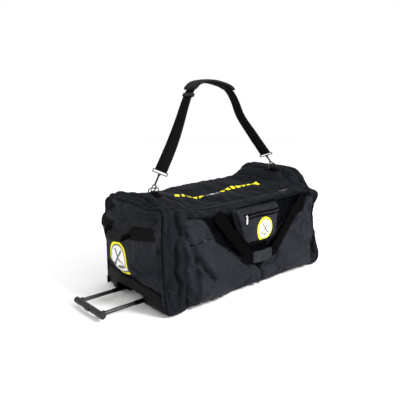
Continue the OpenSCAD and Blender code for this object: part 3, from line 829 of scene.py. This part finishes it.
def front_seams():
    """Piping along the pockets' edges and along the top of the front."""
    top = [(x, LINES[0] - 0.001, float(front_height(x)) + 0.001) for x in np.linspace(-SEAM_X, SEAM_X, 30)]
    left, right = [[(x, FRONT_Y - 0.008, z + 0.001) for x, z in edge] for edge in (LEFT_TOP, RIGHT_TOP)]
    return join("front_piping", [
        tube("a", left, 0.0026, PIPING, spacing=0.008),
        tube("b", right, 0.0026, PIPING, spacing=0.008),
        tube("c", top, 0.0028, PIPING, spacing=0.02),
        tube("d", accessory_outline(FRONT_Y - 0.038), 0.0022, PIPING, spacing=0.02),
        tube("e", accessory_outline(FRONT_Y - 0.010), 0.0022, PIPING, spacing=0.02)])


place(front_seams(), "bag", "nylon")


# ---------- top ----------

def inside_lid(x, y, grow):
    """Whether points lie within the lid's outline, with its two round corners, grown by a distance."""
    past_x = np.maximum(np.abs(x) - (LID_X - LID_CORNER), 0)
    past_y = np.maximum(LID_FRONT + LID_CORNER - y, 0)
    in_corner = np.hypot(past_x, past_y) < LID_CORNER + grow
    return in_corner & (np.abs(x) < LID_X + grow) & (y > LID_FRONT - grow) & (y < LID_BACK + 0.0025)


def lid_points():
    xs = np.linspace(-LID_X, LID_X, steps(2 * LID_X))
    ys = np.linspace(LID_FRONT, LID_BACK, steps(LID_BACK - LID_FRONT))
    points = top_points(xs, ys)
    for i in range(len(xs)):
        past = max(0.0, abs(xs[i]) - (LID_X - LID_CORNER))
        front = LID_FRONT + LID_CORNER - math.sqrt(max(LID_CORNER ** 2 - past ** 2, 0))
        points[i, :, 1] = front + (ys - LID_FRONT) * (LID_BACK - front) / (LID_BACK - LID_FRONT)
        points[i, :, 2] = top_height(points[i, :, 0], points[i, :, 1])
    return points


def make_lid(seed):
    points = relax(lid_points(), push=0.15, slack=0.035, limit=0.009, seed=seed, stiff=3.0)
    return skin("lid_skin", points, 0.006, NYLON_SHADED)


def make_deck(seed):
    """The top round the lid, in one sheet with the lid's hole in it."""
    xs = np.concatenate([
        np.linspace(-SEAM_X, -LID_X - 2 * ZIP_GAP, steps(SEAM_X - LID_X)),
        np.linspace(-LID_X - 2 * ZIP_GAP, LID_X + 2 * ZIP_GAP, steps(2 * LID_X))[1:-1],
        np.linspace(LID_X + 2 * ZIP_GAP, SEAM_X, steps(SEAM_X - LID_X))])
    ys = np.concatenate([
        np.linspace(LINES[0], LID_FRONT - 2 * ZIP_GAP, steps(LID_FRONT - LINES[0])),
        np.linspace(LID_FRONT - 2 * ZIP_GAP, LID_BACK + 0.002, steps(LID_BACK - LID_FRONT))[1:-1],
        np.linspace(LID_BACK + 0.002, LINES[-1], steps(LINES[-1] - LID_BACK))])
    points = top_points(xs, ys)
    mid_x = (xs[:-1] + xs[1:]) / 2
    mid_y = (ys[:-1] + ys[1:]) / 2
    gx, gy = grid(mid_x, mid_y)
    hole = inside_lid(gx, gy, 2 * ZIP_GAP - 0.003)
    px, py = points[:, :, 0], points[:, :, 1]
    pinned = edge_mask(*points.shape[:2]) | inside_lid(px, py, 2 * ZIP_GAP + 0.008)
    points = relax(points, push=0.3, slack=0.05, limit=0.008, seed=seed, stiff=2.0, pinned=pinned, skip=hole)
    return skin("deck_skin", points, 0.005, NYLON_SHADED, skip=hole)


lid_skin = make_lid(41)
place(lid_skin, "lid_flap", "nylon", "lid", fill=0.2)
place(make_deck(42), "bag", "nylon", "top_deck")


# ---------- back and lining ----------

def flat_panel(name, points, thickness, slack, limit, seed, mat):
    return skin(name, relax(points, 0.1, slack, limit, seed), thickness, mat)


def back_points():
    x, v = sheet((SEAM_X, -SEAM_X), (0, 1), 2 * SEAM_X, 0.34)
    foot = FLOOR_GAP + 0.004
    z = foot + (top_height(x, np.full_like(x, LINES[-1])) - foot) * v
    return np.stack([x, np.full_like(x, BACK_Y), z], axis=2)


def wall_points(x):
    y, z = sheet((FRONT_Y + 0.010, 0.213), (0.046, 0.352), 0.42, 0.31)
    points = np.stack([np.full_like(y, x), y, z], axis=2)
    return points[::-1] if x < 0 else points


back_skin = flat_panel("back_skin", back_points(), 0.006, 0.03, 0.004, 51, NYLON)
lining_left = flat_panel("lining_left", wall_points(-SEAM_X + 0.001), 0.005, 0.02, 0.003, 52, LINING)
lining_right = flat_panel("lining_right", wall_points(SEAM_X - 0.001), 0.005, 0.02, 0.003, 53, LINING)
for piece, node in ((back_skin, "back_wall"), (lining_left, "left_wall"), (lining_right, "right_wall")):
    place(piece, "bag", "nylon", node)


# ---------- moulded band at the handle end ----------

BAND_W = 0.216        # half width
BAND_LOW = 0.010
ARCH_HALF = 0.104     # half width and height of the pull-out handle's recess
ARCH_TOP = 0.046
ARCH_CORNER = 0.016
BAND_CORNER = 0.030


def band_columns():
    """Lower edge of the band, over the recess, with the place above it where each column ends."""
    outer = [(y, BAND_LOW, y) for y in np.linspace(-BAND_W, -ARCH_HALF, 22)]
    feet = [(-ARCH_HALF, z) for z in np.linspace(BAND_LOW, ARCH_TOP - ARCH_CORNER, 6)[1:]]
    turn = [(-ARCH_HALF + ARCH_CORNER * (1 - math.cos(a)), ARCH_TOP - ARCH_CORNER * (1 - math.sin(a)))
            for a in np.radians([22, 45, 68, 90])]
    half = feet + turn
    over = [(y, ARCH_TOP) for y in np.linspace(-ARCH_HALF + ARCH_CORNER, ARCH_HALF - ARCH_CORNER, 24)[1:-1]]
    arch = np.array(half + over + [(-y, z) for y, z in half[::-1]])
    run = np.concatenate([[0], np.cumsum(np.linalg.norm(np.diff(arch, axis=0), axis=1))])
    above = -ARCH_HALF + 2 * ARCH_HALF * run / run[-1]
    arch = [(y, z, a) for (y, z), a in zip(arch, above)]
    return np.array(outer + arch + [(-y, z, -a) for y, z, a in outer[::-1]])


def band_top(y):
    over = np.clip(np.abs(y) - (BAND_W - BAND_CORNER), 0, BAND_CORNER)
    return BAND_TOP + 0.006 - BAND_CORNER + np.sqrt(BAND_CORNER ** 2 - over ** 2)


def band_skin():
    columns = band_columns()
    v = np.linspace(0, 1, 15)[None, :]
    foot_y, foot_z, top_y = [columns[:, k:k + 1] for k in range(3)]
    y = foot_y + (top_y - foot_y) * v
    z = foot_z + (band_top(top_y) - foot_z) * v
    in_arch = (np.abs(foot_y) < ARCH_HALF + 1e-6) & (foot_z > BAND_LOW + 1e-6)
    rim = 0.006 * in_arch * smoothstep(v, 0.0, 0.04) * smoothstep(-v, -0.30, -0.18)
    past = np.clip(np.abs(y) - (BAND_W - BAND_CORNER), 0, BAND_CORNER) / BAND_CORNER
    ends = np.sqrt(1 - past ** 2)
    roll = 0.004 + 0.011 * np.sin(math.pi * np.clip(v, 0, 1)) ** 0.5
    x = end_seam(-1, y, z) - (roll + rim) * ends
    points = np.stack([x, y, z], axis=2)
    return skin("band_skin", points[::-1], 0.004, BASE)


place(band_skin(), "bag", "base_plastic", "end_band")


# ---------- zips ----------

def lid_zip_path():
    """Round the three free sides of the lid."""
    side_x = LID_X + ZIP_GAP
    front = LID_FRONT - ZIP_GAP
    corner = LID_CORNER + ZIP_GAP
    turn = [(side_x - corner + corner * math.sin(a), front + corner - corner * math.cos(a))
            for a in np.radians([0, 30, 60, 90])]
    right = turn + [(side_x, y) for y in (-0.05, 0.05, LID_BACK)]
    left = [(-x, y) for x, y in right[::-1]]
    along = [(x, front) for x in np.linspace(-side_x + corner, side_x - corner, 12)[1:-1]]
    return [(x, y, float(top_height(np.array(x), np.array(y))) - 0.0005) for x, y in left + along + right]


def lid_zip():
    path = smooth_path(lid_zip_path(), 0.003)
    sides = np.cross(heading(path), (0, 0, 1))
    tape = sweep("tape", path[::4], sides[::4], tape_profile(2.6 * ZIP_GAP, 0.0014), NYLON_GAP_SHADE)
    return join("lid_zip", [tape, zip_teeth("teeth", path, sides, TEETH, 0.0022)])


place(lid_zip(), "bag", "nylon")

panel_tree = surface_tree(panel)
small_tree = surface_tree(pocket_small)
INTO_FRONT = (0, 1, 0)
INTO_LEFT_END = (1, 0, 0)
DOWN = (0, 0, -1)
ZIP_LIFT = 0.0025     # how far a pocket's zip stands off its fabric


def front_zip(name, slider, direction, before, after, tree):
    """A zip through a slider's place, along a direction in the front plane."""
    low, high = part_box(slider)
    middle = np.array([(low.x + high.x) / 2, 0, (low.z + high.z) / 2])
    step = unit(np.array([direction[0], 0, direction[1]]))
    places = [middle + step * t for t in np.linspace(-before, after, 9)]
    path = drop(tree, np.array(places) + (0, -0.2, 0), INTO_FRONT, ZIP_LIFT)
    return zip_line(name, path, np.cross(step, (0, 1, 0)))


for piece in (front_zip("zip_pocket_left", "front_slider_left", (-0.785, 0.62), 0.16, 0.04, panel_tree),
              front_zip("zip_pocket_right", "front_slider_right", (0.795, 0.606), 0.18, 0.07, panel_tree),
              front_zip("zip_accessory", "accessory_slider", (1, 0), 0.008, 0.198, small_tree)):
    place(piece, "bag", "nylon")


# ---------- carry handles ----------

def carry_loop(name, y_top, y, thick):
    """Webbing that hangs in a V from two anchors, with a level stretch at the bottom."""
    low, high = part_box("carry_handle_front")
    wrap_low, wrap_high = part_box("carry_wrap")
    bottom = (wrap_low.x + wrap_high.x) / 2
    top, level = high.z, low.z + 0.019
    legs = []
    for side, anchor in ((-1, low.x + 0.026), (1, high.x - 0.026)):
        knee_x, knee_z = bottom + side * 0.086, level + 0.019
        rise = [(knee_x + (anchor - knee_x) * t, y + (y_top - y) * lean, knee_z + (top - knee_z) * t)
                for t, lean in ((0, 0), (0.3, 0.35), (0.6, 0.8), (0.85, 1.0), (1, 1))]
        legs.append([(bottom + side * 0.040, y, level), (bottom + side * 0.066, y, level + 0.004)] + rise)
    path = smooth_path(legs[0][::-1] + legs[1], 0.008)
    return sweep(name, path, np.cross(heading(path), (0, 1, 0)), tape_profile(0.046, thick), WEBBING_SHADED)


def squared(value, power):
    """A sine or cosine that makes a round more square as the power falls."""
    return math.copysign(abs(value) ** power, value)


def handle_wrap():
    """Padded sleeve closed round the front handle."""
    low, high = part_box("carry_wrap")
    xs = np.linspace(low.x, high.x, 15)
    mid_y, mid_z = (low.y + high.y) / 2, (low.z + high.z) / 2
    half_y, half_z = (high.y - low.y) / 2, (high.z - low.z) / 2
    verts, sides = [], 20
    for i, x in enumerate(xs):
        end = min(i, len(xs) - 1 - i) / 2.0
        full = 0.90 + 0.10 * min(1.0, end)
        for k in range(sides):
            a = 2 * math.pi * k / sides
            droop = 0.003 * math.sin(math.pi * i / (len(xs) - 1))
            verts.append((x, mid_y + half_y * full * squared(math.cos(a), 0.6),
                          mid_z + half_z * full * squared(math.sin(a), 0.35) - droop))
    return add_mesh("wrap_sleeve", verts, tube_faces(len(xs), sides), WRAP)


carry_front = carry_loop("carry_webbing_front", -0.231, -0.248, 0.0028)
carry_back = carry_loop("carry_webbing_back", 0.2275, 0.2275, 0.0026)
place(carry_front, "carry_front", "webbing", "carry_handle_front")
place(handle_wrap(), "carry_front", "wrap", "carry_wrap", fill=0.8)
place(carry_back, "carry_back", "webbing", "carry_handle_back")


# ---------- grab handles ----------

def grab_handle(name, node, side):
    """A drooping loop of webbing with a wrapped grip in the middle."""
    low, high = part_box(node)
    mid = (low.y + high.y) / 2
    root = low.x + 0.002 if side > 0 else high.x - 0.002
    reach = (high.x - low.x) * 0.92
    top, drop_by = high.z - 0.002, (high.z - low.z) * 0.86
    out = np.array([0.0, 0.30, 0.66, 0.92, 1.0])
    across = np.array([0.078, 0.076, 0.066, 0.040, 0.0])
    half = [(root + side * reach * t, mid - a, top - drop_by * t) for t, a in zip(out, across)]
    path = smooth_path(half + [(x, 2 * mid - y, z) for x, y, z in half[-2::-1]], 0.006)
    facing = unit(np.array([side * reach, 0, -drop_by]))
    sides = np.cross(heading(path), np.cross(facing, (0, 1, 0)))
    webbing = sweep("web", path, sides, tape_profile(0.030, 0.003), WEBBING_SHADED)
    grip = path[np.abs(path[:, 1] - mid) < 0.052]
    grip_sides = sides[np.abs(path[:, 1] - mid) < 0.052]
    half_wide, half_thick = 0.0155, 0.0075
    profile = [(half_wide * squared(math.cos(a), 0.7), half_thick * squared(math.sin(a), 0.7))
               for a in np.linspace(0, 2 * math.pi, 16, endpoint=False)]
    sleeve = sweep("sleeve", grip, grip_sides, profile, PAD)
    return join(name, [webbing, sleeve])


grab_loop_left = grab_handle("grab_loop_left", "grab_handle_left", -1)
grab_loop_right = grab_handle("grab_loop_right", "grab_handle_right", 1)
place(grab_loop_left, "grab_left", "webbing", "grab_handle_left")
place(grab_loop_right, "grab_right", "webbing", "grab_handle_right")


# ---------- shoulder strap ----------

# The strap's middle line: along, up, lean from upright, twist
STRAP = np.array([
    (-0.318, 0.499, 30, -44), (-0.290, 0.547, 30, -38), (-0.262, 0.598, 28, -30),
    (-0.236, 0.652, 24, -20), (-0.212, 0.708, 22, -10), (-0.190, 0.762, 22, -4),
    (-0.166, 0.806, 35, 0), (-0.136, 0.830, 62, 0), (-0.100, 0.840, 82, 0),
    (-0.060, 0.840, 92, 0), (-0.020, 0.834, 99, 0), (0.020, 0.824, 106, 0),
    (0.058, 0.806, 120, 0), (0.092, 0.764, 138, 0), (0.118, 0.716, 143, 4),
    (0.150, 0.676, 134, 10), (0.190, 0.636, 134, 16), (0.230, 0.595, 134, 20),
    (0.270, 0.555, 135, 24), (0.304, 0.521, 136, 28)])


def strap_frames(stations):
    x, z, lean, twist = [np.asarray(c, float) for c in stations.T]
    h, t = np.radians(lean), np.radians(twist)
    middle = np.stack([x, np.zeros_like(x), z], axis=1)
    across = np.stack([np.sin(t) * np.cos(h), np.cos(t), -np.sin(t) * np.sin(h)], axis=1)
    return middle, across


def strap_band(name, stations, width, thick, lift, mat, round_ends=False):
    fine = smooth_path(stations, 1.6)
    middle, across = strap_frames(fine)
    ahead = heading(middle)
    outward = unit(np.cross(ahead, across))
    middle = middle + outward * lift
    n = len(middle)
    verts = []
    profile = tape_profile(1.0, 1.0)
    for i in range(n):
        full = math.sqrt(min(1.0, min(i, n - 1 - i) / (n * 0.10))) if round_ends else 1.0
        wide = width * (0.80 + 0.20 * full)
        high = thick * (0.45 + 0.55 * full)
        verts.extend(middle[i] + across[i] * a * wide + outward[i] * b * high for a, b in profile)
    return add_mesh(name, verts, tube_faces(n, len(profile)), mat)


strap = strap_band("strap_band", STRAP, 0.050, 0.0026, 0.0, STRAP_WEBBING)
shoulder_pad = strap_band("strap_pad", STRAP[6:13], 0.074, 0.011, 0.0078, PAD, round_ends=True)
place(strap, "strap", "webbing", "strap_webbing")
place(shoulder_pad, "strap", "pad", "shoulder_pad", fill=0.9)


# ---------- sewn-on details ----------

face_tree = surface_tree(face_left)
face_right_tree = surface_tree(face_right)
left_tree = surface_tree(pocket_left)
lid_tree = surface_tree(lid_skin)


def end_band_patches():
    """Webbing sewn across an end pocket, which the grab handle's legs run into."""
    pieces = []
    for tree, x, into in ((face_tree, -0.6, INTO_LEFT_END), (face_right_tree, 0.6, (-1, 0, 0))):
        for y0, y1, cells in ((-0.212 if x < 0 else -0.175, -0.070, 14), (0.052, 0.205, 12)):
            rise = 0.020 * (y0 < 0)
            corners = [(x, y0, 0.276 + rise), (x, y1, 0.272), (x, y1, 0.318), (x, y0, 0.318 + rise)]
            pieces.append(patch("p", tree, corners, into, 0.0022, STRAP_WEBBING, cells))
    return join("end_webbing", pieces)


def ring_tabs():
    """Webbing that holds the D-rings' lower bars down on the deck."""
    pieces = []
    for ring in ("d_ring_left", "d_ring_right"):
        low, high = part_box(ring)
        x = (low.x + high.x) / 2
        bar = low.z + 0.0025
        foot = 0.034
        path = [(x, -foot, bar - 0.006), (x, -0.014, bar - 0.001), (x, -0.006, bar + 0.0045),
                (x, 0.006, bar + 0.0045), (x, 0.014, bar - 0.001), (x, foot, bar - 0.006)]
        pieces.append(sweep("t", smooth_path(path, 0.003), (1, 0, 0), tape_profile(0.034, 0.0025), WEBBING_SHADED))
    return join("ring_tabs", pieces)


place(end_band_patches(), "bag", "webbing")
place(ring_tabs(), "bag", "webbing", "d_ring_tabs")


# ---------- badges and prints ----------

def oval(centre, half_u, half_v, u, v, n=48):
    c, u, v = [np.asarray(w, float) for w in (centre, u, v)]
    return np.array([c + u * half_u * math.cos(a) + v * half_v * math.sin(a)
                     for a in np.linspace(0, 2 * math.pi, n, endpoint=False)])


def bar(centre, length, width, angle, u, v):
    """Outline of a straight bar turned by an angle in the plane of u and v."""
    a = math.radians(angle)
    along = u * math.cos(a) + v * math.sin(a)
    over = v * math.cos(a) - u * math.sin(a)
    return dense([centre + along * s * length / 2 + over * t * width / 2
                  for s, t in ((-1, -1), (1, -1), (1, 1), (-1, 1))])


def badge(name, tree, centre, half_u, half_v, u, v, into):
    """A generic badge: two crossed sticks and a puck on a white oval with a yellow rim."""
    c, u, v = [np.asarray(w, float) for w in (centre, u, v)]
    size = min(half_u, half_v)
    blade_down, puck_down = v * size * 0.36, v * size * 0.50
    blade_out = u * size * 0.42
    grip = c + v * size * 0.10
    parts = [
        decal("d", tree, oval(c, half_u, half_v, u, v), into, 0.0010, YELLOW, inner=0.86, rings=4),
        decal("d", tree, oval(c, half_u * 0.85, half_v * 0.85, u, v), into, 0.0012, GREY,
              inner=0.92, rings=2),
        decal("d", tree, oval(c, half_u * 0.78, half_v * 0.78, u, v), into, 0.0010, WHITE, rings=8)]
    sticks = [(grip, 1.15, 0.13, 52, 0.0018), (grip, 1.15, 0.13, 128, 0.0022),
              (c - blade_down - blade_out, 0.30, 0.14, 0, 0.0018),
              (c - blade_down + blade_out, 0.30, 0.14, 0, 0.0018)]
    for middle, length, width, angle, lift in sticks:
        outline = bar(middle, size * length, size * width, angle, u, v)
        parts.append(decal("d", tree, outline, into, lift, GREY))
    puck = oval(c - puck_down, size * 0.22, size * 0.10, u, v, 24)
    return join(name, parts + [decal("d", tree, puck, into, 0.0018, GREY, rings=3)])


def lid_bars():
    """A row of slanted bars printed along the middle of the lid."""
    parts = []
    widths = [1.0, 0.6, 1.0, 0.8, 1.0, 0.5, 0.9, 1.0, 0.6, 1.0, 0.8, 1.0, 0.7, 0.9, 1.0, 0.8]
    x0, x1 = -0.255, 0.262
    lean = 0.012
    above = 0.5
    step = (x1 - x0) / len(widths)
    for k, width in enumerate(widths):
        x = x0 + step * (k + 0.5)
        half = step * 0.36 * width
        tall = 0.019 + 0.004 * (k / len(widths))
        corners = [(x - half - lean, -tall, above), (x - half + lean, tall, above),
                   (x + half + lean, tall, above), (x + half - lean, -tall, above)]
        mat = GREY if k in (5, 7) else WHITE if k == 6 else YELLOW
        parts.append(patch("b", lid_tree, corners, DOWN, 0.0024, mat))
    return join("lid_print", parts)


badge_end = badge("badge_end", face_tree, (-0.7, 0.030, 0.170), 0.074, 0.070,
                  (0, 1, 0), (0, 0, 1), INTO_LEFT_END)
badge_front = badge("badge_front", small_tree, (0.010, -0.5, 0.256), 0.044, 0.050,
                    (1, 0, 0), (0, 0, 1), INTO_FRONT)
place(badge_end, "bag", "nylon")
place(badge_front, "bag", "nylon")
place(lid_bars(), "lid_flap", "nylon")


def seam_and_rivet():
    """Seam of the reinforcing patch on the left pocket, with its rivet."""
    xs = np.linspace(-0.376, -0.252, 16)
    path = drop(left_tree, [(x, -0.5, 0.262 - 0.10 * max(0, x + 0.30)) for x in xs], INTO_FRONT, 0.0002)
    seam = tube("s", path, 0.0016, PIPING, spacing=0.02)
    rivet = decal("r", left_tree, oval((-0.296, -0.5, 0.262), 0.0042, 0.0042, (1, 0, 0), (0, 0, 1), 16),
                  INTO_FRONT, 0.0018, NICKEL, rings=3)
    return join("patch_seam", [seam, rivet])


place(seam_and_rivet(), "bag", "nylon")


# ---------- finish of the CAD nodes that stay ----------

def both(*names):
    """Names of the left and right nodes of each kind."""
    return [name + side for name in names for side in ("_left", "_right")]


FINISH = {
    BASE: ["base_tray", "skid_rails", "tube_clamps", "wheel_housing_front", "wheel_housing_back",
           "bottom_board"],
    RUBBER: ["tyre_front", "tyre_back"],
    BLACK_PLASTIC: ["wheel_front", "wheel_back", "release_button", "strap_adjuster"],
    STEEL: ["axles", "bearings_front", "bearings_back", "button_spring"],
    BLACK_TUBE: ["guide_tubes", "mid_tube_front", "mid_tube_back"],
    GREY_TUBE: ["inner_tube_front", "inner_tube_back"],
    GRIP: ["trolley_grip"],
    NICKEL: both("lid_slider", "lid_pull", "front_slider", "front_pull")
            + ["accessory_slider", "accessory_pull"],
    GUNMETAL: both("snap_hook", "d_ring", "strap_ring", "hook_gate"),
}

for mat, nodes in FINISH.items():
    for node in nodes:
        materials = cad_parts[node].data.materials
        materials.clear()
        materials.append(mat)
